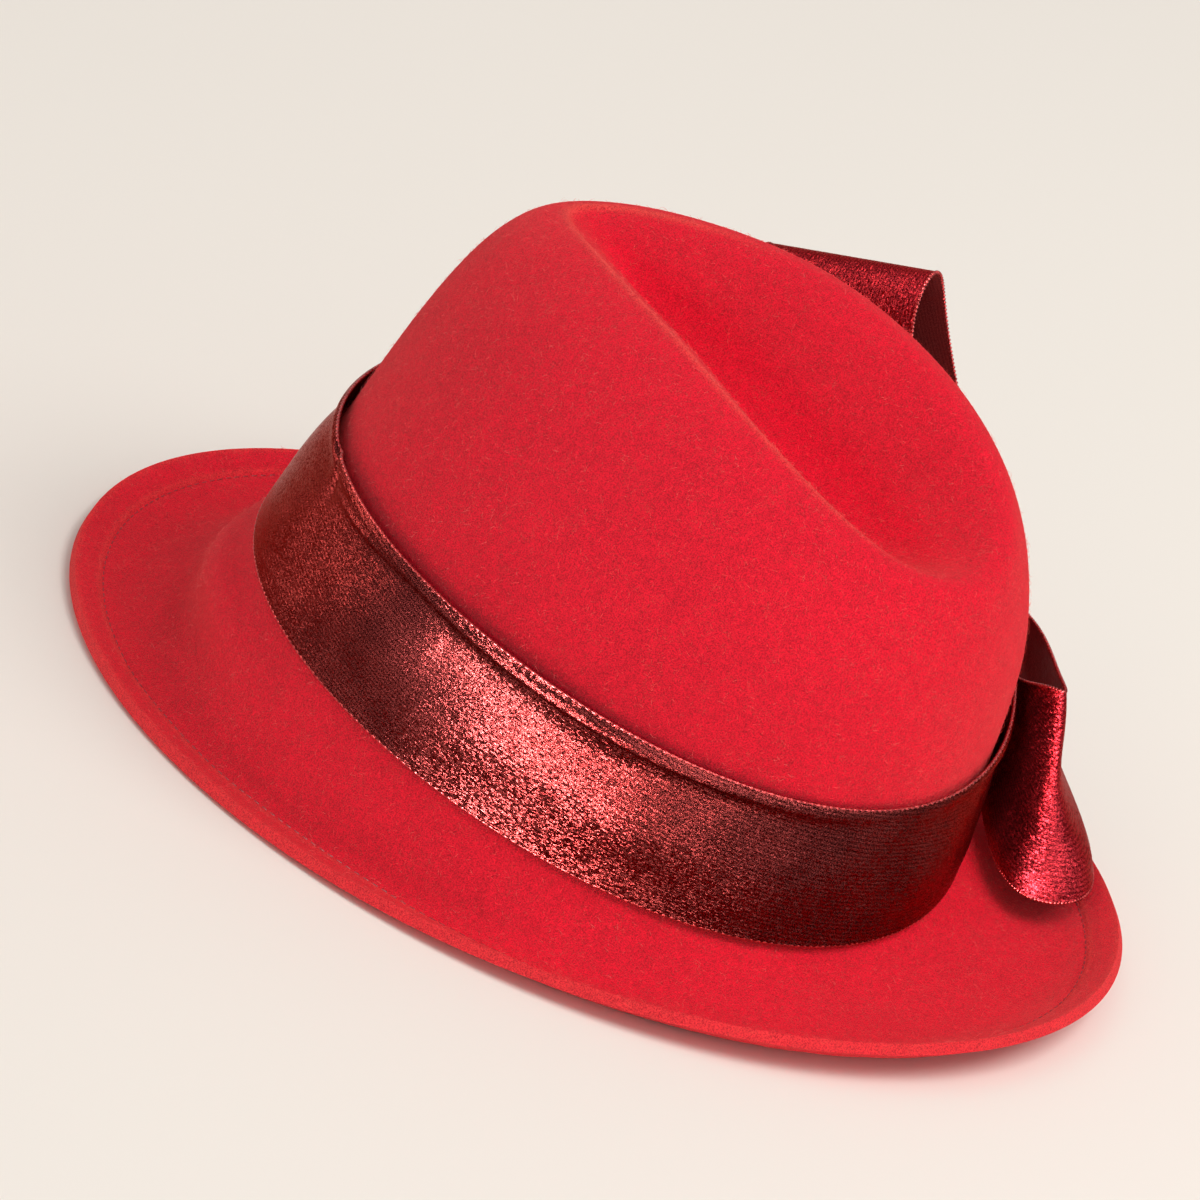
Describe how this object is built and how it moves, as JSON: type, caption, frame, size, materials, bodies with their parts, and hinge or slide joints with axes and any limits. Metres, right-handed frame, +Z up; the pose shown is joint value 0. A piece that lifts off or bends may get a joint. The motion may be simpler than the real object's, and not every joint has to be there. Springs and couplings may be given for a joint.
{
  "type": "fedora hat",
  "caption": "Soft felt fedora with a tear-shaped crown dent, an upturned back brim, a wide satin ribbon band and a flared ribbon bow at the side.",
  "frame": {"origin": "centre of the bounding box's bottom, on the surface that the brim rests on", "axes": "+Z up, -Y towards the front of the hat, +X towards the wearer's left"},
  "size_m": [0.2316, 0.302, 0.1363],
  "materials": {
    "felt": "brushed wool felt, matte with a short nap",
    "band_ribbon": "lustrous satin ribbon",
    "bow_ribbon": "lustrous satin ribbon, duller on its inner side"
  },
  "bodies": {
    "root": {"felt_body": "felt", "ribbon_band": "band_ribbon", "bow_loop_upper": "bow_ribbon", "bow_loop_lower": "bow_ribbon", "bow_knot": "bow_ribbon"}
  },
  "joints": []
}
